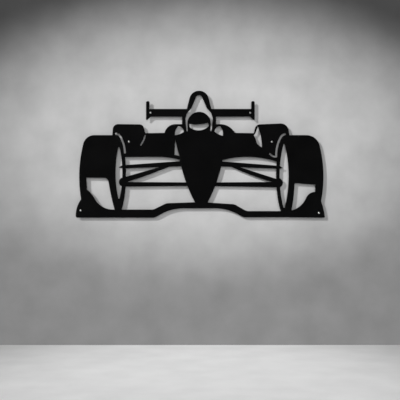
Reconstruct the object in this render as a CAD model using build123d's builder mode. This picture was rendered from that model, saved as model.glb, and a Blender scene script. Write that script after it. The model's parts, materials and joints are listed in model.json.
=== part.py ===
from build123d import *
import os
from typing import NamedTuple

# Wall panel in the outline of an open wheel racing car seen from the front: one piece of laser cut sheet
# steel, held off the wall by six spacer sleeves and the six pan head screws that run through them.
#
# Millimetres. X runs across the panel, Z up and Y into the wall. The wall is the plane Y = 0 and the panel
# looks towards -Y. X = 0 is the middle of the car and Z = 0 the line through the middle pair of screws.
#
# The outline is hand drawn and its two halves differ a little, so most features come by a loop from a
# table with a row for each side. A row gives its feature as it would stand on the right. In the names of
# sizes, x and z are measured from the origin. The wheels and the ends of the front wing keep together, so
# they are measured from the wing's lower outer corner: their x is negative, since they lie inwards of it,
# and h is a height above the wing's lower edge.

# Sheet and fixings
sheet_thickness = 3.0
wall_gap = 17.0  # clear space behind the sheet, which is the length of the spacers
thread_d = 4.0
shank_d = 3.6
screw_length = 50.0  # from under the head to the end
end_taper = 1.5
end_d = 2.8
hole_clearance = 0.5  # added to the thread's diameter in the sheet and in the spacers
head_d = 8.0
head_top_d = 5.2
head_rim_h = 1.1
head_h = 2.6
recess_width = 0.9
recess_length = 4.4
recess_depth = 1.5
spacer_d = 12.0
middle_screw_inset = 213.0  # from the tip of the front wing
rear_screw_inset = 4.0  # from the inner face of the rear wing's end plate

# Front wing
wing_half_span = 500.0
wing_drop = 305.0  # from the middle screws down to the wing's lower edge
arch_bottom_h = 37.4
arch_peak_h = 63.0
arch_crown_r = 180.0  # of the wide bend under the arch
arch_r = 35.0  # of the other bends
bend_x = -76.0  # where the end plate's top turns from hollow to round

# Front tyres
tyre_top_h = 331.5
shoulder_turn = 76.0  # degrees
window_bulge = 2.5
rim_tip_r = 3.0
tyre_low_h = 20.0  # lower edge of the tread and of its window, hidden by the wing

# Nose and side pods
nose_x = 3.5
nose_root_z = -60.0
nose_root_half_w = 88.5
nose_waist_z = -155.0
nose_waist_half_w = 64.0
nose_tip_half_w = 26.5
pod_top_in_z = 35.5
pod_top_out_z = 32.5
floor_z = -61.0

# Humps beside the cockpit
hump_top_z = 70.5
moon_out_bulge = 4.8
moon_in_bulge = 6.8
moon_low_bulge = 2.5

# Suspension: the arms' roots are given where they would meet the middle of the car, the push rods' within
# the upper arms that they spring from
upper_root_z = -72.0  # upper edges of the arms
lower_root_z = -163.5
lower_hub_h = 143.5
upper_root_depth = 24.0
lower_root_depth = 14.0
upper_tip_drop = 8.5  # from the upper edge down to the arm's tip
rod_root_z = -90.3
rod_root_depth = 9.5
hub_r = 19.0

# Rear wing
rear_wing_z = 116.0
rear_wing_depth = 31.0
rear_plate_in_x = 204.0
rear_plate_out_x = 218.0
rear_plate_top_z = 163.0
rear_plate_low_z = 87.5
rear_plate_r = 6.0
rear_plate_foot_w = 5.0
rear_slant_inset = 5.0  # where the slant under the end plate leaves the bar

# Roll hoop and the opening inside it
hoop_x = -5.2
hoop_top_z = 204.5
hoop_crown_half_w = 30.8
hoop_crown_r = 38.5
hoop_crown_bar = 17.5
hoop_neck_z = 131.5
hoop_neck_half_w = 49.2
hoop_leg_half_w = 68.3
hoop_leg_z = 100.5
cockpit_low_z = 42.5
cockpit_apex_r = 13.0
cockpit_apex_turn = 67.0  # degrees

# The driver's helmet, and the visor's upper and lower edges as arcs from the middle of the helmet
helmet_x = -5.0
helmet_z = 73.0
helmet_r = 47.0
chin_half_w = 42.7
visor_brow = ((6.0 - helmet_r, -1.0), (-4.0, -3.5), (helmet_r - 11.0, 3.5))
visor_lip = ((helmet_r - 8.5, -10.0), (0.0, -27.5), (9.0 - helmet_r, -15.0))

wing_root = Plane((0, -wing_drop, 0))
wing_tip = Plane((wing_half_span, -wing_drop, 0))


class FrontTyre(NamedTuple):
    """A front tyre from the wing's corner: tread, inner side wall, rim opening and tread window."""

    hand: int  # -1 for the left of the picture, +1 for the right
    wall_x: float  # middle of the side wall, an upright ellipse
    wall_h: float
    wall_half_w: float
    wall_half_h: float
    shoulder_x: float  # where the flat top ends
    shoulder_r: float
    foot_x: float  # where the tread meets the end plate
    foot_h: float
    rim_x: float
    rim_top_h: float
    rim_low_h: float
    rim_half_w: float
    window_in_x: float  # upper inner corner of the window
    window_in_h: float
    window_out_x: float  # upper outer corner
    window_out_h: float
    window_foot_in_x: float
    window_foot_out_x: float
    window_r: float


class WingHalf(NamedTuple):
    """Half of the front wing: the blade from the car's middle, and the end plate from the corner."""

    hand: int
    arch_x: float  # bends in the blade's lower edge
    foot_x: float
    foot_h: float
    arch_top_x: float  # bends in the blade's upper edge
    arch_top_h: float
    foot_top_x: float
    top_h: float
    hollow_x: float  # where the end plate starts to rise from the blade
    bend_h: float
    crest_x: float
    crest_h: float
    flare: float  # bulge of the end plate's outer edge
    corner_r: float
    screw_x: float
    screw_h: float


class BodySide(NamedTuple):
    """A side pod and the hump beside the cockpit, with the half moon cut through the hump."""

    hand: int
    floor_peak_x: float
    floor_in_x: float
    floor_in_z: float
    floor_out_z: float
    hump_crest_x: float
    hump_foot_x: float
    moon_out_x: float
    moon_out_z: float
    moon_top_x: float
    moon_top_z: float
    moon_in_x: float
    moon_in_z: float


class RearTyre(NamedTuple):
    """The part of a rear tyre that shows above the side pod, its x from the wing's corner."""

    hand: int
    out_foot_x: float
    out_top_x: float
    out_top_z: float
    out_r: float
    in_foot_x: float
    in_top_x: float
    in_top_z: float
    in_r: float


class Suspension(NamedTuple):
    """Upper arm, lower arm, push rod and hub of one front wheel, from the wing's corner."""

    hand: int
    reach_x: float  # where the upper arm passes the edge of the rim opening
    upper_h: float
    upper_depth: float
    tip_x: float
    lower_depth: float
    hub_x: float
    hub_h: float
    rod_root_x: float  # from the middle of the car
    rod_hub_h: float
    rod_hub_depth: float
    rod_bulge: float  # of the rod's lower edge


class Slit(NamedTuple):
    """A curved cut: its middle line is an arc through three points, run on by arcs to any further points."""

    hand: int
    width: float
    points: tuple[tuple[float, float], ...]


class Corner(NamedTuple):
    """A corner on the right of a symmetrical outline, with its rounding."""

    half_w: float
    z: float
    r: float


class Fixing(NamedTuple):
    """A place where a screw and a spacer hold the panel."""

    name: str
    x: float
    z: float


FRONT_TYRES = (
    FrontTyre(
        hand=-1,
        wall_x=-162, wall_h=171, wall_half_w=39.5, wall_half_h=165,
        shoulder_x=-74, shoulder_r=45.5, foot_x=-21, foot_h=74,
        rim_x=-173, rim_top_h=294, rim_low_h=66, rim_half_w=13.8,
        window_in_x=-129, window_in_h=159, window_out_x=-42, window_out_h=161,
        window_foot_in_x=-159, window_foot_out_x=-51, window_r=18,
    ),
    FrontTyre(
        hand=1,
        wall_x=-158, wall_h=171, wall_half_w=38, wall_half_h=168,
        shoulder_x=-74.5, shoulder_r=55, foot_x=-15.5, foot_h=67,
        rim_x=-164, rim_top_h=305.5, rim_low_h=30.5, rim_half_w=18.2,
        window_in_x=-122, window_in_h=138.5, window_out_x=-38.5, window_out_h=132.5,
        window_foot_in_x=-136, window_foot_out_x=-44, window_r=4,
    ),
)

WING_HALVES = (
    WingHalf(
        hand=-1, arch_x=116, foot_x=183, foot_h=0, arch_top_x=137, arch_top_h=58, foot_top_x=188, top_h=32.7,
        hollow_x=-148, bend_h=76, crest_x=-38, crest_h=118, flare=7, corner_r=7, screw_x=-19, screw_h=29,
    ),
    WingHalf(
        hand=1, arch_x=106, foot_x=173, foot_h=1.5, arch_top_x=137, arch_top_h=54, foot_top_x=185, top_h=26.5,
        hollow_x=-155, bend_h=79, crest_x=-34, crest_h=103.5, flare=2, corner_r=4, screw_x=-24, screw_h=19,
    ),
)

BODY_SIDES = (
    BodySide(
        hand=-1, floor_peak_x=170, floor_in_x=76, floor_in_z=-74.5, floor_out_z=-62.5,
        hump_crest_x=100, hump_foot_x=144, moon_out_x=102, moon_out_z=26.5,
        moon_top_x=89, moon_top_z=62, moon_in_x=67, moon_in_z=39,
    ),
    BodySide(
        hand=1, floor_peak_x=185, floor_in_x=86, floor_in_z=-75, floor_out_z=-93.5,
        hump_crest_x=79, hump_foot_x=138.5, moon_out_x=90, moon_out_z=24,
        moon_top_x=79, moon_top_z=62, moon_in_x=57.5, moon_in_z=40,
    ),
)

REAR_TYRES = (
    RearTyre(
        hand=-1, out_foot_x=-145, out_top_x=-149.5, out_top_z=71, out_r=22,
        in_foot_x=-280, in_top_x=-268.5, in_top_z=69.5, in_r=17,
    ),
    RearTyre(
        hand=1, out_foot_x=-138, out_top_x=-150, out_top_z=74.5, out_r=33,
        in_foot_x=-286, in_top_x=-277.5, in_top_z=69, in_r=22,
    ),
)

SUSPENSIONS = (
    Suspension(
        hand=-1, reach_x=-187, upper_h=210.5, upper_depth=13, tip_x=-171, lower_depth=19,
        hub_x=-192, hub_h=143, rod_root_x=124, rod_hub_h=162, rod_hub_depth=22, rod_bulge=3,
    ),
    Suspension(
        hand=1, reach_x=-182, upper_h=208, upper_depth=12, tip_x=-167.5, lower_depth=22,
        hub_x=-188, hub_h=140, rod_root_x=122, rod_hub_h=153.5, rod_hub_depth=16.5, rod_bulge=4.6,
    ),
)

# The cuts that part the front tyres from the body behind them, from the wing's corner: over the tyre's
# shoulder and down its side, and on the right a hook back into the body
SLITS = (
    Slit(hand=-1, width=7.5, points=((-161, 337.5), (-170, 334.5), (-179, 325.5), (-197, 261.5))),
    Slit(hand=1, width=8, points=((-160.5, 335.5), (-167.5, 333), (-177.5, 323), (-195.5, 247))),
    Slit(hand=1, width=6.5, points=((-196, 245), (-210, 248), (-221, 256.5))),
)

# The openings between the rear tyres and the side pods, with x from the foot of the tyre's inner edge
REAR_SLIT = Slit(hand=-1, width=5.5, points=((1.5, 25), (9.5, 4), (19, -13)))
leaf_tread = ((17, 60.5), (29, 20), (33, -22.5))
leaf_flank = ((33, -22.5), (15.5, -9), (8.5, 10))
leaf_corners = ((0.5, 25), (8, 37))

# The three cornered cut beside the nose on the left, with x from the edge of the nose
sliver_corners = ((-16, 9), (-19, -52), (0, -56.5))

COCKPIT_CORNERS = (
    Corner(half_w=hoop_neck_half_w - 18, z=hoop_neck_z + 2.5, r=16),
    Corner(half_w=hoop_leg_half_w - 20, z=hoop_leg_z + 15, r=16),
    Corner(half_w=hoop_leg_half_w - 13.3, z=hoop_leg_z - 6.5, r=20),
    Corner(half_w=hoop_leg_half_w - 17.8, z=cockpit_low_z, r=2),
)

FIXINGS = []
for wing in WING_HALVES:
    side_name = "left" if wing.hand < 0 else "right"
    rear_screw_x = rear_plate_in_x - rear_screw_inset
    middle_screw_x = wing_half_span - middle_screw_inset
    front_screw_x = wing_half_span + wing.screw_x
    FIXINGS += [
        Fixing(f"rear_wing_{side_name}", wing.hand * rear_screw_x, rear_wing_z),
        Fixing(f"rear_tyre_{side_name}", wing.hand * middle_screw_x, 0),
        Fixing(f"front_wing_{side_name}", wing.hand * front_screw_x, wing.screw_h - wing_drop),
    ]


def on_its_side(feature: Sketch, hand: int) -> Sketch:
    """Leaves a feature drawn on the right where it is, or mirrors it over to the left."""
    return feature if hand > 0 else feature.mirror(Plane.YZ)


def from_corner(x: float, h: float) -> Vector:
    """A point measured from the wing's lower outer corner, in the panel's own measure."""
    return Vector(wing_half_span + x, h - wing_drop)


def front_tyre(tyre: FrontTyre) -> Sketch:
    """The tread, down to behind the wing, and the side wall."""
    with BuildSketch(wing_tip) as face:
        with BuildLine():
            top = Line((tyre.wall_x, tyre_top_h), (tyre.shoulder_x, tyre_top_h))
            shoulder = JernArc(top @ 1, top % 1, tyre.shoulder_r, -shoulder_turn)
            tread = TangentArc(shoulder @ 1, (tyre.foot_x, tyre.foot_h), tangent=shoulder % 1)
            Polyline(tread @ 1, (tyre.foot_x, tyre_low_h), (tyre.wall_x, tyre_low_h), top @ 0)
        make_face()
        with Locations((tyre.wall_x, tyre.wall_h)):
            Ellipse(tyre.wall_half_w, tyre.wall_half_h)
    return on_its_side(face.sketch, tyre.hand)


def rim_opening(tyre: FrontTyre) -> Sketch:
    """The lens shaped opening through the side wall."""
    top = (tyre.rim_x, tyre.rim_top_h)
    low = (tyre.rim_x, tyre.rim_low_h)
    middle_h = (tyre.rim_top_h + tyre.rim_low_h) / 2
    with BuildSketch(wing_tip) as lens:
        with BuildLine():
            ThreePointArc(top, (tyre.rim_x + tyre.rim_half_w, middle_h), low)
            ThreePointArc(low, (tyre.rim_x - tyre.rim_half_w, middle_h), top)
        make_face()
        fillet(lens.vertices(), rim_tip_r)
    return on_its_side(lens.sketch, tyre.hand)


def tread_window(tyre: FrontTyre) -> Sketch:
    """The opening through the tread above the wing."""
    inner_corner = (tyre.window_in_x, tyre.window_in_h)
    with BuildSketch(wing_tip) as window:
        with BuildLine():
            lintel = Line((tyre.window_out_x, tyre.window_out_h), inner_corner)
            jamb = SagittaArc(lintel @ 1, (tyre.window_foot_in_x, tyre_low_h), window_bulge)
            Polyline(jamb @ 1, (tyre.window_foot_out_x, tyre_low_h), lintel @ 0)
        make_face()
        fillet(window.vertices().sort_by_distance(inner_corner)[0], tyre.window_r)
    return on_its_side(window.sketch, tyre.hand)


def wing_blade(wing: WingHalf) -> Sketch:
    """Half of the wing's arched blade, out to where the end plate bends."""
    end_x = wing_half_span + bend_x
    with BuildSketch(wing_root) as blade:
        with BuildLine():
            FilletPolyline(
                (0, arch_peak_h),
                (0, arch_bottom_h),
                (wing.arch_x, arch_bottom_h),
                (wing.foot_x, wing.foot_h),
                (end_x, wing.foot_h),
                (end_x, wing.top_h),
                (wing.foot_top_x, wing.top_h),
                (wing.arch_top_x, wing.arch_top_h),
                radius=(0, 0, arch_crown_r, arch_r, 0, 0, arch_r, arch_r),
                close=True,
            )
        make_face()
    return on_its_side(blade.sketch, wing.hand)


def end_plate(wing: WingHalf, tyre: FrontTyre) -> Sketch:
    """The end of the wing, swept up to the foot of the tread."""
    foot = (tyre.foot_x, tyre.foot_h)
    with BuildSketch(wing_tip) as plate:
        with BuildLine():
            hollow = TangentArc((wing.hollow_x, wing.top_h), (bend_x, wing.bend_h), tangent=(1, 0))
            crest = TangentArc(hollow @ 1, (wing.crest_x, wing.crest_h), tangent=hollow % 1)
            Line(crest @ 1, foot)
            SagittaArc(foot, (0, 0), wing.flare)
            Polyline((0, 0), (wing.hollow_x, wing.foot_h), hollow @ 0)
        make_face()
        fillet(plate.vertices().sort_by_distance((0, 0))[0], wing.corner_r)
    return on_its_side(plate.sketch, wing.hand)


def nose() -> Sketch:
    """The nose cone, from the cockpit down to the arch of the front wing."""
    tip_z = arch_peak_h - wing_drop
    foot_z = arch_bottom_h - wing_drop
    with BuildSketch(Plane((nose_x, 0, 0))) as cone:
        with BuildLine():
            Polyline((0, 0), (nose_root_half_w, 0), (nose_root_half_w, nose_root_z))
            flank = ThreePointArc(
                (nose_root_half_w, nose_root_z), (nose_waist_half_w, nose_waist_z), (nose_tip_half_w, tip_z)
            )
            Polyline(flank @ 1, (nose_tip_half_w, foot_z), (0, foot_z))
            mirror(about=Plane.YZ)
        make_face()
    return cone.sketch


def side_pod(side: BodySide, tyre: FrontTyre) -> Sketch:
    """The body from the middle of the car out to the front tyre, with its arched floor and its hump."""
    end_x = wing_half_span + tyre.wall_x
    peak = (side.floor_peak_x, floor_z)
    with BuildSketch() as pod:
        with BuildLine():
            inward = TangentArc(peak, (side.floor_in_x, side.floor_in_z), tangent=(-1, 0))
            outward = TangentArc(peak, (end_x, side.floor_out_z), tangent=(1, 0))
            Polyline(
                outward @ 1,
                (end_x, pod_top_out_z),
                (side.hump_foot_x, pod_top_in_z),
                (0, pod_top_in_z),
                (0, side.floor_in_z),
                inward @ 1,
            )
        make_face()
        with BuildLine():
            crest = Line((0, hump_top_z), (side.hump_crest_x, hump_top_z))
            slope = TangentArc(crest @ 1, (side.hump_foot_x, pod_top_in_z), tangent=(1, 0))
            Polyline(slope @ 1, (side.hump_foot_x, 0), (0, 0), crest @ 0)
        make_face()
    return on_its_side(pod.sketch, side.hand)


def half_moon(side: BodySide) -> Sketch:
    """The opening through a hump."""
    outer = (side.moon_out_x, side.moon_out_z)
    top = (side.moon_top_x, side.moon_top_z)
    inner = (side.moon_in_x, side.moon_in_z)
    with BuildSketch() as moon:
        with BuildLine():
            SagittaArc(outer, top, -moon_out_bulge)
            SagittaArc(top, inner, -moon_in_bulge)
            SagittaArc(inner, outer, -moon_low_bulge)
        make_face()
    return on_its_side(moon.sketch, side.hand)


def rear_tyre(tyre: RearTyre) -> Sketch:
    """A rear tyre, down to the middle of the side pod that hides the rest of it."""
    with BuildSketch(Plane((wing_half_span, 0, 0))) as face:
        with BuildLine():
            FilletPolyline(
                (tyre.out_foot_x, 0),
                (tyre.out_top_x, tyre.out_top_z),
                (tyre.in_top_x, tyre.in_top_z),
                (tyre.in_foot_x, pod_top_out_z),
                (tyre.in_foot_x, 0),
                radius=(0, tyre.out_r, tyre.in_r, 0, 0),
                close=True,
            )
        make_face()
    return on_its_side(face.sketch, tyre.hand)


def suspension(wheel: Suspension) -> Sketch:
    """The arms, push rod and hub of one front wheel, run in to the middle of the car."""
    hub = from_corner(wheel.hub_x, wheel.hub_h)
    with BuildSketch() as links:
        with BuildLine():
            Polyline(
                (0, upper_root_z),
                from_corner(wheel.reach_x, wheel.upper_h),
                from_corner(wheel.tip_x, wheel.upper_h - upper_tip_drop),
                from_corner(wheel.reach_x, wheel.upper_h - wheel.upper_depth),
                (0, upper_root_z - upper_root_depth),
                close=True,
            )
        make_face()
        with BuildLine():
            Polyline(
                (0, lower_root_z),
                from_corner(wheel.hub_x, lower_hub_h),
                from_corner(wheel.hub_x, lower_hub_h - wheel.lower_depth),
                (0, lower_root_z - lower_root_depth),
                close=True,
            )
        make_face()
        with BuildLine():
            rod_top = Line((wheel.rod_root_x, rod_root_z), from_corner(wheel.hub_x, wheel.rod_hub_h))
            rod_low_root = (wheel.rod_root_x, rod_root_z - rod_root_depth)
            rod_low_hub = from_corner(wheel.hub_x, wheel.rod_hub_h - wheel.rod_hub_depth)
            SagittaArc(rod_low_root, rod_low_hub, -wheel.rod_bulge)
            Line(rod_low_root, rod_top @ 0)
            Line(rod_low_hub, rod_top @ 1)
        make_face()
        with Locations(hub):
            Circle(hub_r)
    return on_its_side(links.sketch, wheel.hand)


def tyre_foot(tyre: RearTyre) -> Plane:
    """The frame at the foot of a rear tyre's inner edge."""
    return Plane((wing_half_span + tyre.in_foot_x, 0, 0))


def slit_cut(slit: Slit, frame: Plane) -> Sketch:
    """A curved slit with round ends, drawn in the frame that its points are measured in."""
    with BuildLine() as middle_line:
        arc = ThreePointArc(*slit.points[:3])
        for end in slit.points[3:]:
            arc = TangentArc(arc @ 1, end, tangent=arc % 1)
    with BuildSketch(frame) as cut:
        SlotArc(middle_line.wire(), slit.width)
    return on_its_side(cut.sketch, slit.hand)


def rear_tyre_leaf(tyre: RearTyre) -> Sketch:
    """The leaf shaped opening between a rear tyre and the side pod."""
    with BuildSketch(tyre_foot(tyre)) as leaf:
        with BuildLine():
            ThreePointArc(*leaf_tread)
            ThreePointArc(*leaf_flank)
            Polyline(leaf_flank[-1], *leaf_corners, leaf_tread[0])
        make_face()
    return on_its_side(leaf.sketch, tyre.hand)


def body_sliver() -> Sketch:
    """The three cornered cut beside the nose."""
    with BuildSketch(Plane((nose_x - nose_root_half_w, 0, 0))) as sliver:
        with BuildLine():
            Polyline(*sliver_corners, close=True)
        make_face()
    return sliver.sketch


def rear_wing() -> Sketch:
    """The rear wing's bar and its two end plates, each cut to a slant at the foot."""
    bar_low_z = rear_wing_z - rear_wing_depth / 2
    with BuildSketch() as wing:
        with Locations((0, rear_wing_z)):
            Rectangle(2 * rear_plate_in_x, rear_wing_depth)
        with BuildLine():
            FilletPolyline(
                (rear_plate_in_x, rear_plate_top_z),
                (rear_plate_in_x, rear_wing_z),
                (rear_plate_in_x - rear_slant_inset, bar_low_z),
                (rear_plate_out_x - rear_plate_foot_w, rear_plate_low_z),
                (rear_plate_out_x, rear_plate_low_z),
                (rear_plate_out_x, rear_plate_top_z),
                radius=(rear_plate_r, 0, 0, 0, 0, rear_plate_r),
                close=True,
            )
        make_face()
        mirror(about=Plane.YZ)
    return wing.sketch


def roll_hoop() -> Sketch:
    """The solid outline of the hoop over the driver, legs down to the side pods."""
    with BuildSketch(Plane((hoop_x, 0, 0))) as hoop:
        with BuildLine():
            FilletPolyline(
                (0, hoop_top_z),
                (hoop_crown_half_w, hoop_top_z),
                (hoop_neck_half_w, hoop_neck_z),
                (hoop_leg_half_w, hoop_leg_z),
                (hoop_leg_half_w, 0),
                (0, 0),
                radius=(hoop_crown_r, 0, 0, 0),
            )
            mirror(about=Plane.YZ)
        make_face()
    return hoop.sketch


def cockpit() -> Sketch:
    """The opening inside the hoop, before the helmet is set in it."""
    with BuildSketch(Plane((hoop_x, 0, 0))) as opening:
        with BuildLine():
            apex_z = hoop_top_z - hoop_crown_bar
            apex = JernArc((0, apex_z), (1, 0), cockpit_apex_r, -cockpit_apex_turn)
            FilletPolyline(
                apex @ 1,
                *[(corner.half_w, corner.z) for corner in COCKPIT_CORNERS],
                (0, cockpit_low_z),
                radius=[corner.r for corner in COCKPIT_CORNERS],
            )
            mirror(about=Plane.YZ)
        make_face()
    return opening.sketch


def helmet() -> Sketch:
    """The driver's helmet, with the visor cut through it."""
    with BuildSketch(Plane((helmet_x, helmet_z, 0))) as shell:
        Circle(helmet_r)
        with BuildLine():
            Polyline(
                (-helmet_r, 0), (-chin_half_w, -helmet_z), (chin_half_w, -helmet_z), (helmet_r, 0), close=True
            )
        make_face()
        with BuildLine():
            ThreePointArc(*visor_brow)
            Line(visor_brow[-1], visor_lip[0])
            ThreePointArc(*visor_lip)
            Line(visor_lip[-1], visor_brow[0])
        make_face(mode=Mode.SUBTRACT)
    return shell.sketch


with BuildPart() as panel:
    left_rear_tyre, right_rear_tyre = REAR_TYRES
    with BuildSketch(Plane.XZ.offset(wall_gap)):
        for tyre in REAR_TYRES:
            add(rear_tyre(tyre))
        for side, tyre in zip(BODY_SIDES, FRONT_TYRES):
            add(side_pod(side, tyre))
        for tyre in FRONT_TYRES:
            add(front_tyre(tyre))
            add(rim_opening(tyre), mode=Mode.SUBTRACT)
            add(tread_window(tyre), mode=Mode.SUBTRACT)
        for wing, tyre in zip(WING_HALVES, FRONT_TYRES):
            add(wing_blade(wing))
            add(end_plate(wing, tyre))
        add(nose())
        add(rear_wing())
        add(roll_hoop())
        add(cockpit(), mode=Mode.SUBTRACT)
        add(helmet())
        for side in BODY_SIDES:
            add(half_moon(side), mode=Mode.SUBTRACT)
        for slit in SLITS:
            add(slit_cut(slit, wing_tip), mode=Mode.SUBTRACT)
        add(slit_cut(REAR_SLIT, tyre_foot(left_rear_tyre)), mode=Mode.SUBTRACT)
        add(rear_tyre_leaf(right_rear_tyre), mode=Mode.SUBTRACT)
        add(body_sliver(), mode=Mode.SUBTRACT)
        for wheel in SUSPENSIONS:
            add(suspension(wheel))
        with Locations(*[(fixing.x, fixing.z) for fixing in FIXINGS]):
            Circle((thread_d + hole_clearance) / 2, mode=Mode.SUBTRACT)
    extrude(amount=sheet_thickness)
panel.part.label = "panel"

with BuildPart() as spacer:
    with BuildSketch(Plane.XZ):
        Circle(spacer_d / 2)
        Circle((thread_d + hole_clearance) / 2, mode=Mode.SUBTRACT)
    extrude(amount=wall_gap)

with BuildPart() as screw:
    seat_y = -(wall_gap + sheet_thickness)
    end_y = seat_y + screw_length
    with BuildSketch():
        with BuildLine():
            Polyline(
                (0, seat_y - head_h),
                (head_top_d / 2, seat_y - head_h),
                (head_d / 2, seat_y - head_rim_h),
                (head_d / 2, seat_y),
                (shank_d / 2, seat_y),
                (shank_d / 2, 0),
                (thread_d / 2, 0),
                (thread_d / 2, end_y - end_taper),
                (end_d / 2, end_y),
                (0, end_y),
                close=True,
            )
        make_face()
    revolve(axis=Axis.Y)
    with BuildSketch(Plane.XZ.offset(head_h - seat_y)):
        Rectangle(recess_length, recess_width)
        Rectangle(recess_width, recess_length)
    extrude(amount=-recess_depth, mode=Mode.SUBTRACT)

os.makedirs("parts", exist_ok=True)
export_step(panel.part, "parts/panel.step")
for fixing in FIXINGS:
    place = Pos(fixing.x, 0, fixing.z)
    for kind, piece in (("spacer", spacer.part), ("screw", screw.part)):
        fitted = place * piece
        fitted.label = f"{kind}_{fixing.name}"
        export_step(fitted, f"parts/{fitted.label}.step")
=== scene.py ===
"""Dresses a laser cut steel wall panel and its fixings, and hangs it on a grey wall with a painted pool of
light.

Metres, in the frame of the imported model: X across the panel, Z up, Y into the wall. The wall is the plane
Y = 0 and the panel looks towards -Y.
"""

import json
import logging
import math
from collections.abc import Iterable, Mapping
from dataclasses import dataclass
from enum import Enum
from typing import ClassVar

import bmesh
import bpy
from mathutils import Matrix, Vector

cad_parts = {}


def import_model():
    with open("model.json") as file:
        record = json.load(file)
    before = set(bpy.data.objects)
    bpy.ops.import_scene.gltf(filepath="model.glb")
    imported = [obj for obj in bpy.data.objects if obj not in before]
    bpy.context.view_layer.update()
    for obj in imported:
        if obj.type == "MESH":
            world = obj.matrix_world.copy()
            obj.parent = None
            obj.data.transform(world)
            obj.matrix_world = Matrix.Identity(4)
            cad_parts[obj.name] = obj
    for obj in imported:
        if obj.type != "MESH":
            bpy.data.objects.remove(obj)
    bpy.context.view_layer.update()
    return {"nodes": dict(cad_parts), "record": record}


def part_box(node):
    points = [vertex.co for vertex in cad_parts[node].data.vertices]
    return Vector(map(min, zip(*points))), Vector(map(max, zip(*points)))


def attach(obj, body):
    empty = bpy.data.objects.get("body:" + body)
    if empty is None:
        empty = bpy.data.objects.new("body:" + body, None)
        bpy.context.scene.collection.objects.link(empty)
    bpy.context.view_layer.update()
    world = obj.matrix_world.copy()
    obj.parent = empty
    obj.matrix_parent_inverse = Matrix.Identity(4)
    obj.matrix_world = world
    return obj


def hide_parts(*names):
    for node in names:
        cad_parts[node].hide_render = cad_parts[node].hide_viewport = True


Colour = tuple[float, float, float]
Point = tuple[float, float, float]
Span = tuple[float, float]

MM = 0.001
BODY = "root"
MERGE_DISTANCE = 0.001 * MM
ORIGIN: Point = (0.0, 0.0, 0.0)
FIXING_AXIS: Point = (0.0, 1.0, 0.0)
QUARTER_TURN = math.pi / 2
LOG = logging.getLogger("wall_panel")


class Slot(Enum):
    """The record's material slots."""

    PANEL = "panel_black"
    SPACER = "spacer_black"
    SCREW = "screw_zinc"


class Fixing(Enum):
    """The six places where a screw and a spacer hold the panel."""

    REAR_WING_LEFT = "rear_wing_left"
    REAR_WING_RIGHT = "rear_wing_right"
    REAR_TYRE_LEFT = "rear_tyre_left"
    REAR_TYRE_RIGHT = "rear_tyre_right"
    FRONT_WING_LEFT = "front_wing_left"
    FRONT_WING_RIGHT = "front_wing_right"


class Zone(Enum):
    """Face attributes of the panel, which its finish reads."""

    CUT_EDGE = "cut_edge"
    RIM = "rim"


class Join(Enum):
    """What a tool does to the screw's blank."""

    CUT = "DIFFERENCE"
    ADD = "UNION"


@dataclass(frozen=True)
class Mottle:
    """A pattern of soft random blotches.

    Attributes:
        size: about how far apart the blotches are.
        detail: how many finer octaves are added.
        shown: the values between which a blotch comes up.
    """

    size: float
    detail: float = 2.0
    shown: Span = (0.0, 1.0)


class Signal:
    """A value in a shader. Arithmetic on it adds Math nodes."""

    def __init__(self, shader: "Shader", socket: bpy.types.NodeSocket | None) -> None:
        """Wraps an output socket of a node, or None for a node without one."""
        self.shader = shader
        self.socket = socket

    def _math(self, operation: str, *terms: "Signal | float", clamp: bool = False) -> "Signal":
        """The result of one Math node on the terms, held between 0 and 1 where clamp is set."""
        settings = {"operation": operation, "use_clamp": clamp}
        return self.shader.node("ShaderNodeMath", settings, dict(enumerate(terms)))

    def __add__(self, other: "Signal | float") -> "Signal":
        """The sum."""
        return self._math("ADD", self, other)

    def __radd__(self, other: float) -> "Signal":
        """The sum, with a number on the left."""
        return self._math("ADD", other, self)

    def __sub__(self, other: "Signal | float") -> "Signal":
        """The difference."""
        return self._math("SUBTRACT", self, other)

    def __rsub__(self, other: float) -> "Signal":
        """The difference, with a number on the left."""
        return self._math("SUBTRACT", other, self)

    def __mul__(self, other: "Signal | float") -> "Signal":
        """The product."""
        return self._math("MULTIPLY", self, other)

    def __rmul__(self, other: float) -> "Signal":
        """The product, with a number on the left."""
        return self._math("MULTIPLY", other, self)

    def clamped(self) -> "Signal":
        """The same value, held between 0 and 1."""
        return self._math("ADD", self, 0.0, clamp=True)

    def eased(self) -> "Signal":
        """A share from 0 to 1, with its two ends made soft."""
        return self * self * (3.0 - 2.0 * self)


Input = Signal | float | tuple[float, ...]


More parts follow.
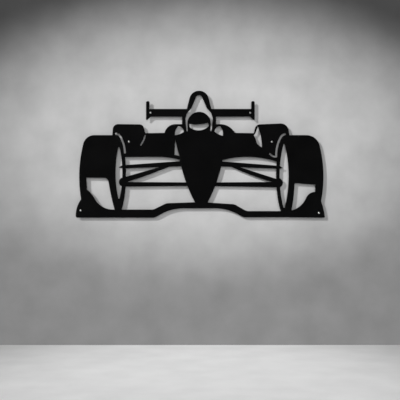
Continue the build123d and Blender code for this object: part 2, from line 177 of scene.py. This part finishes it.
class Shader:
    """A material's nodes, from its coordinates to its surface."""

    MIX_FACTOR: ClassVar[int] = 0
    MIX_COLOUR_A: ClassVar[int] = 6
    MIX_COLOUR_B: ClassVar[int] = 7
    MIX_COLOUR_RESULT: ClassVar[int] = 2
    SURFACE_FACTOR: ClassVar[int] = 0
    SURFACE_A: ClassVar[int] = 1
    SURFACE_B: ClassVar[int] = 2

    def __init__(self, name: str) -> None:
        """Starts an empty material.

        Args:
            name: the material's name.
        """
        self.material = bpy.data.materials.new(name)
        self.material.use_nodes = True
        self.tree = self.material.node_tree
        self.tree.nodes.clear()

    def node(
        self,
        kind: str,
        settings: Mapping[str, object] | None = None,
        inputs: Mapping[str | int, Input] | None = None,
        output: str | int = 0,
    ) -> Signal:
        """Adds a node.

        Args:
            kind: the node's type.
            settings: its own settings, which are set first.
            inputs: a value or a link for each of its sockets that is set.
            output: the output socket that is wanted.

        Returns:
            That output.
        """
        made = self.tree.nodes.new(kind)
        for name, value in (settings or {}).items():
            setattr(made, name, value)
        for name, value in (inputs or {}).items():
            if isinstance(value, Signal):
                self.tree.links.new(value.socket, made.inputs[name])
            else:
                made.inputs[name].default_value = value
        return Signal(self, made.outputs[output] if len(made.outputs) else None)

    def place(self, stretch: Point = (1.0, 1.0, 1.0), middle: Point = ORIGIN) -> Signal:
        """Object coordinates.

        Args:
            stretch: how much finer a pattern gets along each axis.
            middle: the point that the pattern is centred on.

        Returns:
            The coordinates.
        """
        plain = self.node("ShaderNodeTexCoord", output="Object")
        shift = tuple(-at * finer for at, finer in zip(middle, stretch))
        return self.node(
            "ShaderNodeMapping", inputs={"Vector": plain, "Location": shift, "Scale": stretch}
        )

    def zone(self, zone: Zone) -> Signal:
        """1 on the faces of a zone of the piece, and 0 elsewhere."""
        return self.node("ShaderNodeAttribute", {"attribute_name": zone.value}, output="Fac")

    def noise(self, place: Signal, mottle: Mottle) -> Signal:
        """A mottle's raw values at a place, which are about 0.5."""
        inputs = {"Vector": place, "Scale": 1 / mottle.size, "Detail": mottle.detail}
        return self.node("ShaderNodeTexNoise", inputs=inputs)

    def above(self, value: Signal, low: float, high: float) -> Signal:
        """A ramp from 0, where a value is below low, to 1, where it is above high."""
        return ((value - low) * (1 / (high - low))).clamped()

    def blend(self, share: Signal, first: Signal | Colour, second: Signal | Colour) -> Signal:
        """A mix of two colours.

        Args:
            share: how much of the second colour there is.
            first: the colour where share is 0.
            second: the colour where share is 1.

        Returns:
            The mixed colour.
        """
        inputs = {self.MIX_FACTOR: share}
        for socket, colour in ((self.MIX_COLOUR_A, first), (self.MIX_COLOUR_B, second)):
            inputs[socket] = colour if isinstance(colour, Signal) else (*colour, 1.0)
        return self.node(
            "ShaderNodeMix", {"data_type": "RGBA"}, inputs, output=self.MIX_COLOUR_RESULT
        )

    def bump(self, height: Signal, depth: float) -> Signal:
        """The normal, bent by a relief whose height from 0 to 1 is so many metres deep."""
        return self.node("ShaderNodeBump", inputs={"Height": height, "Distance": depth})

    def principled(self, inputs: Mapping[str, Input]) -> Signal:
        """A Principled surface with some of its sockets set."""
        return self.node("ShaderNodeBsdfPrincipled", inputs=inputs)

    def one_sided(self, front: Signal) -> Signal:
        """Makes a surface clear from behind.

        Args:
            front: the surface that shows from the front.

        Returns:
            The surface.
        """
        behind = self.node("ShaderNodeNewGeometry", output="Backfacing")
        clear = self.node("ShaderNodeBsdfTransparent")
        sides = {self.SURFACE_FACTOR: behind, self.SURFACE_A: front, self.SURFACE_B: clear}
        return self.node("ShaderNodeMixShader", inputs=sides)

    def finish(self, surface: Signal) -> bpy.types.Material:
        """The material, ended in a surface."""
        self.node("ShaderNodeOutputMaterial", inputs={"Surface": surface})
        return self.material


@dataclass(frozen=True)
class PowderCoat:
    """Satin black powder coat over laser cut steel.

    Attributes:
        colour: the coat.
        dusty: the coat where a haze of dust lies on it.
        thin: the coat along a worn rim.
        specular: how much it mirrors.
        smooth: the roughness of the clean coat.
        rough: the roughness of the dusty coat.
        haze: where the dust lies.
        peel: the orange peel.
        grain: the finer grain on the peel.
        grain_share: the grain's height beside the peel's.
        scar: the cut's scars, which show through on the cut edge.
        scar_share: their height beside the peel's.
        scar_run: their width as a share of their run through the sheet.
        relief_depth: the height of the peel.
        wear: where a rim is worn.
        wear_polish: how much smoother it is there.
    """

    colour: Colour = (0.0012, 0.0012, 0.0013)
    dusty: Colour = (0.0018, 0.0018, 0.0019)
    thin: Colour = (0.0300, 0.0300, 0.0310)
    specular: float = 0.08
    smooth: float = 0.29
    rough: float = 0.37
    haze: Mottle = Mottle(90 * MM, detail=4.0, shown=(0.35, 0.70))
    peel: Mottle = Mottle(2.4 * MM, detail=1.0)
    grain: Mottle = Mottle(0.35 * MM)
    grain_share: float = 0.35
    scar: Mottle = Mottle(0.55 * MM)
    scar_share: float = 0.8
    scar_run: float = 0.06
    relief_depth: float = 0.120 * MM
    wear: Mottle = Mottle(7 * MM, detail=5.0, shown=(0.42, 0.66))
    wear_polish: float = 0.1

    def material(self) -> bpy.types.Material:
        """Makes the finish.

        Returns:
            The material: an even coat with a fine orange peel, the cut's scars under the coat on the
            edges, and a thinner coat along the rims.
        """
        shader = Shader("satin_black_powder_coat")
        place = shader.place()
        along_cut = shader.place(stretch=(1.0, self.scar_run, 1.0))
        haze = shader.noise(place, self.haze)
        peel = shader.noise(place, self.peel)
        grain = shader.noise(place, self.grain)
        scars = shader.noise(along_cut, self.scar) * shader.zone(Zone.CUT_EDGE)
        wear = shader.above(shader.noise(place, self.wear), *self.wear.shown)
        thin = wear * shader.zone(Zone.RIM)
        coat = shader.blend(shader.above(haze, *self.haze.shown), self.colour, self.dusty)
        relief = peel + grain * self.grain_share + scars * self.scar_share
        roughness = self.smooth + haze * (self.rough - self.smooth) - thin * self.wear_polish
        return shader.finish(shader.principled({
            "Base Color": shader.blend(thin, coat, self.thin),
            "Roughness": roughness,
            "Specular IOR Level": self.specular,
            "Normal": shader.bump(relief, self.relief_depth),
        }))


@dataclass(frozen=True)
class MouldedNylon:
    """Matt black moulded nylon.

    Attributes:
        colour: the moulded skin.
        scuffed: the skin where it is scuffed.
        specular: how much it mirrors.
        smooth: the roughness in the hollows of the grain.
        rough: the roughness on its tops.
        grain: the mould's spark grain.
        grain_depth: the grain's height.
        scuff: where the scuffs are.
    """

    colour: Colour = (0.010, 0.010, 0.0105)
    scuffed: Colour = (0.022, 0.022, 0.023)
    specular: float = 0.35
    smooth: float = 0.48
    rough: float = 0.72
    grain: Mottle = Mottle(0.30 * MM, detail=3.0)
    grain_depth: float = 0.015 * MM
    scuff: Mottle = Mottle(3 * MM, detail=4.0, shown=(0.50, 0.75))

    def material(self) -> bpy.types.Material:
        """Makes the finish.

        Returns:
            The material: a fine spark grain with paler scuffs.
        """
        shader = Shader("matt_black_nylon")
        place = shader.place()
        grain = shader.noise(place, self.grain)
        scuffs = shader.above(shader.noise(place, self.scuff), *self.scuff.shown)
        return shader.finish(shader.principled({
            "Base Color": shader.blend(scuffs, self.colour, self.scuffed),
            "Roughness": self.smooth + grain * (self.rough - self.smooth),
            "Specular IOR Level": self.specular,
            "Normal": shader.bump(grain, self.grain_depth),
        }))


@dataclass(frozen=True)
class ZincPlate:
    """Bright zinc plate on a rolled steel screw.

    Attributes:
        colour: the bright plate.
        dull: the plate where it is clouded.
        smooth: the roughness of the bright plate.
        rough: the roughness of the clouded plate.
        cloud: where the plate is clouded.
        pit: the fine pits.
        pit_depth: how deep they are.
    """

    colour: Colour = (0.74, 0.74, 0.72)
    dull: Colour = (0.60, 0.61, 0.62)
    smooth: float = 0.24
    rough: float = 0.42
    cloud: Mottle = Mottle(1.6 * MM, detail=4.0, shown=(0.40, 0.72))
    pit: Mottle = Mottle(0.25 * MM)
    pit_depth: float = 0.006 * MM

    def material(self) -> bpy.types.Material:
        """Makes the finish.

        Returns:
            The material: clouded plating with fine pits.
        """
        shader = Shader("bright_zinc_plate")
        place = shader.place()
        cloud = shader.noise(place, self.cloud)
        clouded = shader.above(cloud, *self.cloud.shown)
        return shader.finish(shader.principled({
            "Base Color": shader.blend(clouded, self.colour, self.dull),
            "Metallic": 1.0,
            "Roughness": self.smooth + cloud * (self.rough - self.smooth),
            "Normal": shader.bump(shader.noise(place, self.pit), self.pit_depth),
        }))


@dataclass(frozen=True)
class StagePaint:
    """Matt stage paint with a painted pool of light and painted shade around it, clear from behind.

    Attributes:
        name: the material's name.
        colour: the paint in the middle of the painted pool of light.
        painted_shade_colour: the painted shade outside the pool.
        middle: the pool's middle.
        fineness: how fast the pool ends along each axis.
        fade: the squared distances from its middle, so scaled, between which it ends.
        low_painted_shade_colour: the painted shade outside the pool low down, where it differs.
        foot: the heights between which that changes.
        stain: where the paint is stained.
        stain_colour: the stains.
        stain_share: how strong they are.
    """

    name: str
    colour: Colour
    painted_shade_colour: Colour
    middle: Point
    fineness: Point
    fade: Span
    low_painted_shade_colour: Colour | None = None
    foot: Span = (-0.30, 0.40)
    stain: Mottle = Mottle(0.13, detail=8.0, shown=(0.30, 0.70))
    stain_colour: Colour = (0.0, 0.0, 0.0)
    stain_share: float = 0.16

    def material(self) -> bpy.types.Material:
        """Makes the finish.

        Returns:
            The material: a painted pool of light with painted shade around it, faintly stained on the
                front, and see-through from the back.
        """
        shader = Shader(self.name)
        stains = shader.above(shader.noise(shader.place(), self.stain), *self.stain.shown)
        stained = shader.blend(stains * self.stain_share, self._painted_light(shader), self.stain_colour)
        paint = {"Base Color": stained, "Roughness": 1.0, "Specular IOR Level": 0.0}
        return shader.finish(shader.one_sided(shader.principled(paint)))

    def _painted_light(self, shader: Shader) -> Signal:
        """Mixes the painted pool of light and the painted shade around it, before they are stained.

        Args:
            shader: the material that it is for.

        Returns:
            A colour that falls off around the pool's middle, from painted light to painted shade.
        """
        # Painted light: palest in the pool's middle, falling off to painted shade outside it
        place = shader.place(self.fineness, self.middle)
        away = shader.node(
            "ShaderNodeVectorMath", {"operation": "DOT_PRODUCT"}, {0: place, 1: place}, output="Value"
        )
        edge = self.painted_shade_colour
        # Low down, the painted shade outside the pool can take another tone
        if self.low_painted_shade_colour:
            height = shader.node("ShaderNodeSeparateXYZ", inputs={"Vector": shader.place()}, output="Z")
            edge = shader.blend(shader.above(height, *self.foot), self.low_painted_shade_colour, self.painted_shade_colour)
        return shader.blend(shader.above(away, *self.fade).eased(), self.colour, edge)


def as_object(
    name: str, shape: bmesh.types.BMesh, finish: bpy.types.Material | None = None
) -> bpy.types.Object:
    """Turns a bmesh into an object of the scene.

    Args:
        name: the object's name.
        shape: the bmesh, which is freed.
        finish: the material of all its faces, which a tool does without.

    Returns:
        The object, at the origin.
    """
    mesh = bpy.data.meshes.new(name)
    shape.to_mesh(mesh)
    shape.free()
    if finish:
        mesh.materials.append(finish)
    made = bpy.data.objects.new(name, mesh)
    bpy.context.scene.collection.objects.link(made)
    return made


def fit(piece: bpy.types.Object, node: str) -> bpy.types.Object:
    """Puts a piece in the place of a CAD node.

    Args:
        piece: the dressed piece.
        node: the node that it stands for.

    Returns:
        The piece.
    """
    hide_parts(node)
    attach(piece, BODY)
    return piece


def merge(shape: bmesh.types.BMesh) -> None:
    """Closes seams and poles, and turns the faces outwards.

    Args:
        shape: the bmesh to mend.
    """
    bmesh.ops.remove_doubles(shape, verts=shape.verts, dist=MERGE_DISTANCE)
    bmesh.ops.dissolve_degenerate(shape, edges=shape.edges, dist=MERGE_DISTANCE)
    bmesh.ops.recalc_face_normals(shape, faces=shape.faces)


def mark_creases(shape: bmesh.types.BMesh, faces: Iterable[bmesh.types.BMFace], limit: float) -> None:
    """Shades faces as round, apart from their creases.

    Args:
        shape: the bmesh.
        faces: its round faces.
        limit: the angle past which an edge is a crease.
    """
    for face in faces:
        face.smooth = True
    for edge in shape.edges:
        edge.smooth = edge.calc_face_angle(math.pi) < limit


def profile(shape: bmesh.types.BMesh, corners: Iterable[Span]) -> list[bmesh.types.BMVert]:
    """Draws an open half section for a spin about the Y axis.

    Args:
        shape: the bmesh that it is drawn in.
        corners: a radius and a Y for each corner.

    Returns:
        The corners' vertices.
    """
    verts = [shape.verts.new((radius, y, 0.0)) for radius, y in corners]
    for start, end in zip(verts, verts[1:]):
        shape.edges.new((start, end))
    return verts


def turn(shape: bmesh.types.BMesh, facets: int) -> None:
    """Spins all that is drawn once round the Y axis.

    Args:
        shape: the bmesh.
        facets: how many facets go round.
    """
    bmesh.ops.spin(
        shape, geom=[*shape.verts, *shape.edges], cent=ORIGIN, axis=FIXING_AXIS, angle=math.tau,
        steps=facets, use_merge=True,
    )
    merge(shape)


@dataclass
class CutPanel:
    """The cut sheet, its sharp rims broken as before coating.

    Attributes:
        node: the CAD node that holds the sheet's outline.
        rim_bevel: how far a rim is broken.
        rim_steps: how many facets it gets.
        flat: the angle up to which faces lie in one plane.
        facing: the least that a flat face's normal points to the front or the back.
        crease: the angle past which an edge shows as a crease.
        most_corners: the most corners that a face may keep.
    """

    node: bpy.types.Object
    rim_bevel: float = 0.35 * MM
    rim_steps: int = 2
    flat: float = math.radians(0.2)
    facing: float = 0.5
    crease: float = math.radians(30)
    most_corners: int = 4

    def build(self, finish: bpy.types.Material) -> bpy.types.Object:
        """Makes the panel.

        Args:
            finish: its material.

        Returns:
            The piece.
        """
        shape = bmesh.new()
        shape.from_mesh(self.node.data)
        merge(shape)
        bmesh.ops.dissolve_limit(
            shape, angle_limit=self.flat, verts=shape.verts, edges=shape.edges
        )
        self._break_rims(shape)
        many = [face for face in shape.faces if len(face.verts) > self.most_corners]
        bmesh.ops.triangulate(shape, faces=many)
        mark_creases(shape, (face for face in shape.faces if not self._is_side(face)), self.crease)
        return fit(as_object("cut_panel", shape, finish), self.node.name)

    def _break_rims(self, shape: bmesh.types.BMesh) -> None:
        """Bevels the rims, and marks them and the cut edge for the finish.

        Args:
            shape: the merged sheet.
        """
        zones = {zone: shape.faces.layers.float.new(zone.value) for zone in Zone}
        for face in shape.faces:
            face[zones[Zone.CUT_EDGE]] = float(not self._is_flat(face))
        # A clamped bevel would be held far under its size by the shortest edges of the outline
        made = bmesh.ops.bevel(
            shape, geom=self._rims(shape), offset=self.rim_bevel, affect="EDGES",
            segments=self.rim_steps, profile=0.5, material=-1, clamp_overlap=False, loop_slide=False,
        )
        for face in made["faces"]:
            face[zones[Zone.RIM]] = 1.0
            face[zones[Zone.CUT_EDGE]] = 0.0

    def _is_flat(self, face: bmesh.types.BMFace) -> bool:
        """Whether a face looks to the front or the back, and not out of an edge."""
        return abs(face.normal.y) > self.facing

    def _is_side(self, face: bmesh.types.BMFace) -> bool:
        """Whether a face is part of the sheet's two flat sides."""
        return abs(face.normal.y) > math.cos(self.flat)

    def _rims(self, shape: bmesh.types.BMesh) -> list[bmesh.types.BMEdge]:
        """Finds the edges between the flat sides and the cut edge.

        Args:
            shape: the merged sheet.

        Returns:
            The edges.
        """
        return [
            edge for edge in shape.edges
            if edge.is_manifold
            and self._is_flat(edge.link_faces[0]) != self._is_flat(edge.link_faces[1])
        ]


@dataclass
class SpacerSleeve:
    """A moulded sleeve that holds the panel off the wall.

    Attributes:
        front_y: its end at the panel.
        wall_y: its end at the wall.
        radius: its outside.
        bore_radius: its bore.
        chamfer: how far its outer rims are rounded.
        chamfer_steps: how many facets they get.
        facets: how many facets go round.
        crease: the angle past which an edge shows as a crease.
    """

    front_y: float
    wall_y: float
    radius: float
    bore_radius: float = 2.25 * MM
    chamfer: float = 0.5 * MM
    chamfer_steps: int = 3
    facets: int = 64
    crease: float = math.radians(40)

    def shape(self) -> bmesh.types.BMesh:
        """Makes one sleeve about the Y axis.

        Returns:
            Its bmesh.
        """
        shape = bmesh.new()
        corners = (
            (self.bore_radius, self.front_y), (self.radius, self.front_y),
            (self.radius, self.wall_y), (self.bore_radius, self.wall_y),
        )
        verts = profile(shape, corners)
        shape.edges.new((verts[-1], verts[0]))
        turn(shape, self.facets)
        ends = [edge for edge in shape.edges if self._is_round_end(edge)]
        bmesh.ops.bevel(
            shape, geom=ends, offset=self.chamfer, affect="EDGES", segments=self.chamfer_steps,
            profile=0.5, material=-1,
        )
        mark_creases(shape, shape.faces, self.crease)
        return shape

    def _is_round_end(self, edge: bmesh.types.BMEdge) -> bool:
        """Tests whether an edge is on the outer circle of one of the two ends.

        Args:
            edge: the edge.

        Returns:
            Whether it is.
        """
        start, end = (vert.co for vert in edge.verts)
        outside = min(math.hypot(at.x, at.z) for at in (start, end)) > self.radius - self.chamfer
        return outside and abs(start.y - end.y) < MERGE_DISTANCE


@dataclass
class PanHeadScrew:
    """A pan head wood screw with a cross recess and a rolled thread.

    Attributes:
        front_y: the top of its crown.
        seat_y: the head's underside, on the panel.
        wall_y: the wall, where the thread starts.
        end_y: its end.
        head_radius: the head's outside.
        thread_radius: the thread's crest.
        crown_radius: the flatter middle of the crown.
        crown_drop: how far the crown falls over it.
        rim_height: the head's upright side.
        crown_round: how far the crown's corners are rounded.
        shank_radius: the plain shank under the head.
        shank_overlap: how far the shank reaches into the thread.
        root_radius: the thread's root.
        pitch: from one turn of the thread to the next.
        ridge_foot: where in the pitch the ridge starts to rise, as a share of it.
        ridge_crest: where its crest starts and ends, as shares too.
        lead_turns: how many turns are wound before the wall, and trimmed there.
        end_taper: the length of the tapered end.
        end_radius: its flat tip.
        recess_length: a blade of the cross, from tip to tip.
        recess_width: its width.
        recess_depth: its depth.
        recess_taper: the share of its length and width that is left at the bottom.
        round_steps: how many facets a rounded corner gets.
        head_facets: how many facets go round the head.
        thread_facets: how many facets go round the thread.
        crease: the angle past which an edge shows as a crease.
    """

    front_y: float
    seat_y: float
    wall_y: float
    end_y: float
    head_radius: float
    thread_radius: float
    crown_radius: float = 2.0 * MM
    crown_drop: float = 0.12 * MM
    rim_height: float = 1.1 * MM
    crown_round: float = 1.15 * MM
    shank_radius: float = 1.8 * MM
    shank_overlap: float = 0.37 * MM
    root_radius: float = 1.45 * MM
    pitch: float = 1.4 * MM
    ridge_foot: float = 0.45
    ridge_crest: Span = (0.68, 0.77)
    lead_turns: float = 1.5
    end_taper: float = 1.5 * MM
    end_radius: float = 1.4 * MM
    recess_length: float = 4.4 * MM
    recess_width: float = 0.9 * MM
    recess_depth: float = 1.5 * MM
    recess_taper: float = 0.5
    round_steps: int = 6
    head_facets: int = 48
    thread_facets: int = 24
    crease: float = math.radians(35)

    def shape(self) -> bmesh.types.BMesh:
        """Makes one screw about the Y axis.

        Returns:
            Its bmesh, one closed shell.
        """
        blank = as_object("blank", self._head())
        scraps = [blank.data]
        tools = (
            (self._blade(0.0), Join.CUT), (self._blade(QUARTER_TURN), Join.CUT),
            (self._thread(), Join.ADD), (self._end(), Join.ADD),
        )
        for tool, join in tools:
            step = blank.modifiers.new(join.name, "BOOLEAN")
            step.operation = join.value
            step.solver = "EXACT"
            step.object = as_object("tool", tool)
            scraps.append(step.object.data)
        bpy.context.view_layer.update()
        joined = blank.evaluated_get(bpy.context.evaluated_depsgraph_get())
        scraps.append(bpy.data.meshes.new_from_object(joined))
        shape = bmesh.new()
        shape.from_mesh(scraps[-1])
        merge(shape)
        mark_creases(shape, shape.faces, self.crease)
        # The blank and its tools go with their meshes
        for scrap in scraps:
            bpy.data.meshes.remove(scrap)
        return shape

    def _head(self) -> bmesh.types.BMesh:
        """Makes the domed head and the plain shank.

        Returns:
            Their bmesh.
        """
        shape = bmesh.new()
        shank_end_y = self.wall_y + self.shank_overlap
        corners = (
            (0.0, self.front_y), (self.crown_radius, self.front_y + self.crown_drop),
            (self.head_radius, self.seat_y - self.rim_height), (self.head_radius, self.seat_y),
            (self.shank_radius, self.seat_y), (self.shank_radius, shank_end_y), (0.0, shank_end_y),
        )
        _, crown, rim, *_ = profile(shape, corners)
        for corner in (crown, rim):
            bmesh.ops.bevel(
                shape, geom=[corner], offset=self.crown_round, affect="VERTICES",
                segments=self.round_steps, profile=0.5, material=-1, clamp_overlap=True,
            )
        turn(shape, self.head_facets)
        return shape

    def _blade(self, angle: float) -> bmesh.types.BMesh:
        """Makes one of the two crossed cutters of the recess.

        Args:
            angle: how far it is turned about the screw's axis.

        Returns:
            The cutter's bmesh, narrower at its bottom.
        """
        shape = bmesh.new()
        bmesh.ops.create_cube(shape, size=1.0)
        bottom = [vert for vert in shape.verts if vert.co.y > 0]
        bmesh.ops.scale(shape, vec=(self.recess_taper, 1.0, self.recess_taper), verts=bottom)
        size = (self.recess_length, 2 * self.recess_depth, self.recess_width)
        bmesh.ops.scale(shape, vec=size, verts=shape.verts)
        bmesh.ops.rotate(shape, matrix=Matrix.Rotation(angle, 3, "Y"), verts=shape.verts)
        bmesh.ops.translate(shape, vec=(0, self.front_y, 0), verts=shape.verts)
        return shape

    def _thread(self) -> bmesh.types.BMesh:
        """Winds the thread from the wall to the taper.

        Returns:
            Its bmesh, closed at both ends.
        """
        shape = bmesh.new()
        start_y = self.wall_y - self.lead_turns * self.pitch
        stop_y = self.end_y - self.end_taper
        turns = math.ceil((stop_y - start_y) / self.pitch) + 1
        crest_start, crest_end = self.ridge_crest
        ridge = (
            (self.root_radius, 0.0), (self.root_radius, self.ridge_foot),
            (self.thread_radius, crest_start), (self.thread_radius, crest_end), (self.root_radius, 1.0),
        )
        profile(shape, [(radius, start_y + share * self.pitch) for radius, share in ridge])
        bmesh.ops.spin(
            shape, geom=[*shape.verts, *shape.edges], cent=ORIGIN, axis=FIXING_AXIS,
            dvec=(0, self.pitch / self.thread_facets, 0), angle=turns * math.tau,
            steps=turns * self.thread_facets, use_merge=False,
        )
        merge(shape)
        for at, toward in ((self.wall_y, 1.0), (stop_y, -1.0)):
            bmesh.ops.bisect_plane(
                shape, geom=[*shape.verts, *shape.edges, *shape.faces], dist=MERGE_DISTANCE,
                plane_co=(0, at, 0), plane_no=(0, toward, 0), clear_inner=True,
            )
        bmesh.ops.holes_fill(shape, edges=[edge for edge in shape.edges if edge.is_boundary], sides=0)
        merge(shape)
        return shape

    def _end(self) -> bmesh.types.BMesh:
        """Makes the short tapered end.

        Returns:
            Its bmesh.
        """
        shape = bmesh.new()
        middle_y = self.end_y - self.end_taper / 2
        bmesh.ops.create_cone(
            shape, cap_ends=True, segments=self.thread_facets, radius1=self.thread_radius,
            radius2=self.end_radius, depth=self.end_taper,
            matrix=Matrix.Translation((0, middle_y, 0)) @ Matrix.Rotation(-QUARTER_TURN, 4, "X"),
        )
        merge(shape)
        return shape


@dataclass
class Fixings:
    """The six screws and the spacers behind them.

    Attributes:
        panel_front_y: the panel's front, which the heads sit on.
        thread_radius: the thread's crest.
        turn_step: how far each screw is driven round past the one before.
    """

    panel_front_y: float
    thread_radius: float
    turn_step: float = math.radians(137.5)

    def build(
        self, screw_finish: bpy.types.Material, spacer_finish: bpy.types.Material
    ) -> list[bpy.types.Object]:
        """Makes each spacer and each screw at its place.

        Args:
            screw_finish: the screws' material.
            spacer_finish: the spacers' material.

        Returns:
            The pieces.
        """
        pieces = []
        for number, fixing in enumerate(Fixing):
            node = f"spacer_{fixing.value}"
            low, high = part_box(node)
            wall_y = high.y
            sleeve = SpacerSleeve(front_y=low.y, wall_y=wall_y, radius=(high.x - low.x) / 2)
            pieces.append(self._place(sleeve.shape(), node, "sleeve", spacer_finish))
            node = f"screw_{fixing.value}"
            low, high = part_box(node)
            screw = PanHeadScrew(
                front_y=low.y, seat_y=self.panel_front_y, wall_y=wall_y, end_y=high.y,
                head_radius=(high.x - low.x) / 2, thread_radius=self.thread_radius,
            )
            shape = screw.shape()
            driven = Matrix.Rotation(number * self.turn_step, 3, "Y")
            bmesh.ops.rotate(shape, matrix=driven, verts=shape.verts)
            pieces.append(self._place(shape, node, "pan_head", screw_finish))
        return pieces

    def _place(
        self, shape: bmesh.types.BMesh, node: str, prefix: str, finish: bpy.types.Material
    ) -> bpy.types.Object:
        """Moves a turned shape onto its node's axis and fits it there.

        Args:
            shape: the shape, about the Y axis.
            node: the CAD node that it stands for.
            prefix: what the piece's name starts with.
            finish: its material.

        Returns:
            The piece.
        """
        middle = sum(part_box(node), Vector()) / 2
        bmesh.ops.translate(shape, vec=(middle.x, 0, middle.z), verts=shape.verts)
        return fit(as_object(f"{prefix}_{node}", shape, finish), node)


@dataclass(frozen=True)
class PhotoView:
    """The photograph's view: square on to the wall, from a little below the panel's middle.

    Attributes:
        frame_px: the side of the square photograph.
        panel_width_px: the panel's width in it.
        origin_px: where the frame's origin is in it, from its top left corner.
        floor_line_px: how far down the floor meets the wall in it.
        lens_mm: the lens.
        sensor_mm: the width of the sensor behind it.
    """

    frame_px: float = 400.0
    panel_width_px: float = 249.15
    origin_px: tuple[float, float] = (200.4, 141.7)
    floor_line_px: float = 345.0
    lens_mm: float = 85.0
    sensor_mm: float = 36.0

    def camera_place(self) -> Vector:
        """Works out where the camera stands.

        Returns:
            Its place.
        """
        low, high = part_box("panel")
        pixel = (high.x - low.x) / self.panel_width_px
        away = pixel * self.frame_px * self.lens_mm / self.sensor_mm
        middle = self.frame_px / 2
        across, down = (middle - at for at in self.origin_px)
        return Vector((across * pixel, low.y - away, -down * pixel))

    def floor_z(self) -> float:
        """Works out where the floor meets the wall.

        Returns:
            Its height, below the origin.
        """
        eye = self.camera_place()
        slope = (self.floor_line_px / self.frame_px - 0.5) * self.sensor_mm / self.lens_mm
        return eye.z + slope * eye.y

    def build(self) -> None:
        """Sets up the camera."""
        lens = bpy.data.cameras.new("photo_view")
        lens.lens = self.lens_mm
        lens.sensor_width = self.sensor_mm
        camera = bpy.data.objects.new("photo_view", lens)
        camera.location = self.camera_place()
        camera.rotation_euler = (QUARTER_TURN, 0.0, 0.0)
        bpy.context.scene.collection.objects.link(camera)
        bpy.context.scene.camera = camera


@dataclass(frozen=True)
class StudioLamp:
    """A large lamp, far enough off to light everything evenly.

    Attributes:
        name: the lamp's name.
        toward: the direction in which it stands.
        strength: how bright it is.
        softness: how wide it looks, in degrees.
        mirrored: whether it shows in glossy surfaces.
    """

    name: str
    toward: Point
    strength: float
    softness: float
    mirrored: bool = True

    def build(self) -> None:
        """Sets up the lamp."""
        lamp = bpy.data.lights.new(self.name, "SUN")
        lamp.energy = self.strength
        lamp.angle = math.radians(self.softness)
        stand = bpy.data.objects.new(self.name, lamp)
        stand.rotation_euler = Vector(self.toward).to_track_quat("Z", "Y").to_euler()
        stand.visible_glossy = self.mirrored
        bpy.context.scene.collection.objects.link(stand)


@dataclass(frozen=True)
class Studio:
    """The wall and the pale floor, each with a painted pool of light and painted shade around it, and the
    lamps.

    Attributes:
        floor_z: the floor's height.
        half_size: half the side of the wall and of the floor.
        wall_paint: the wall's finish, with its painted pool of light.
        floor_paint: the floor's finish, with its painted pool of light.
        air: the dim light from all sides.
        lamps: the lamps.
    """

    floor_z: float
    half_size: float = 6.0
    # Painted pool of light on the wall, darkening to painted shade all round, less dark low down
    wall_paint: StagePaint = StagePaint(
        "grey_wall", colour=(0.525, 0.525, 0.525), painted_shade_colour=(0.06, 0.06, 0.06),
        low_painted_shade_colour=(0.23, 0.23, 0.23), middle=(0.0, 0.0, 0.03), fineness=(1 / 1.05, 0.0, 1 / 0.58),
        fade=(0.0, 1.30),
    )
    # Painted pool of light on the floor, brightest in front of the wall, with painted shade around it
    floor_paint: StagePaint = StagePaint(
        "pale_floor", colour=(0.98, 0.98, 0.98), painted_shade_colour=(0.50, 0.50, 0.50),
        middle=(0.0, -1.0, 0.0), fineness=(1.0, 1 / 1.6, 0.0), fade=(0.0, 1.25), stain_share=0.08,
    )
    air: Colour = (0.14, 0.14, 0.14)
    lamps: tuple[StudioLamp, ...] = (
        StudioLamp("key", (-0.82, -1.0, 0.63), strength=2.30, softness=4.5),
        StudioLamp("fill", (0.05, -1.0, 0.15), strength=1.30, softness=30.0, mirrored=False),
        StudioLamp("back", (0.50, 1.0, 0.32), strength=2.00, softness=25.0),
    )

    def build(self) -> None:
        """Sets up the studio."""
        floor = self._plane("floor", self.floor_paint.material())
        floor.data.transform(Matrix.Translation((0, 0, self.floor_z)))
        wall = self._plane("wall", self.wall_paint.material())
        wall.data.transform(Matrix.Rotation(QUARTER_TURN, 4, "X"))
        wall.data.transform(Matrix.Translation((0, 0, self.floor_z + self.half_size)))
        # The back lamp shines through the wall
        wall.visible_shadow = False
        for lamp in self.lamps:
            lamp.build()
        self._fill_air()

    def _plane(self, name: str, finish: bpy.types.Material) -> bpy.types.Object:
        """Makes a large square that faces up.

        Args:
            name: the object's name.
            finish: its material.

        Returns:
            The object.
        """
        shape = bmesh.new()
        bmesh.ops.create_grid(shape, x_segments=1, y_segments=1, size=self.half_size)
        return as_object(name, shape, finish)

    def _fill_air(self) -> None:
        """Fills the room with a dim even light."""
        world = bpy.data.worlds.new("studio_air")
        world.use_nodes = True
        world.node_tree.nodes["Background"].inputs["Color"].default_value = (*self.air, 1.0)
        bpy.context.scene.world = world


def stud_radius(record: Mapping[str, object]) -> float:
    """The radius of the thread's crest, which the record gives for the middle screws."""
    mount = next(mount for mount in record["mounts"] if mount["name"] == "middle_screws")
    return mount["dims"]["stud_r_mm"] * MM


def main() -> None:
    """Builds the pieces, the studio and the view in order, and reports each piece."""
    logging.basicConfig(level=logging.INFO, format="%(name)s: %(message)s")
    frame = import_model()
    bpy.context.scene.view_settings.view_transform = "Standard"
    panel = CutPanel(frame["nodes"]["panel"]).build(PowderCoat().material())
    fixings = Fixings(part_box("panel")[0].y, stud_radius(frame["record"]))
    for piece in (panel, *fixings.build(ZincPlate().material(), MouldedNylon().material())):
        LOG.info("%s has %d faces", piece.name, len(piece.data.polygons))
    view = PhotoView()
    Studio(view.floor_z()).build()
    view.build()


if __name__ == "__main__":
    main()
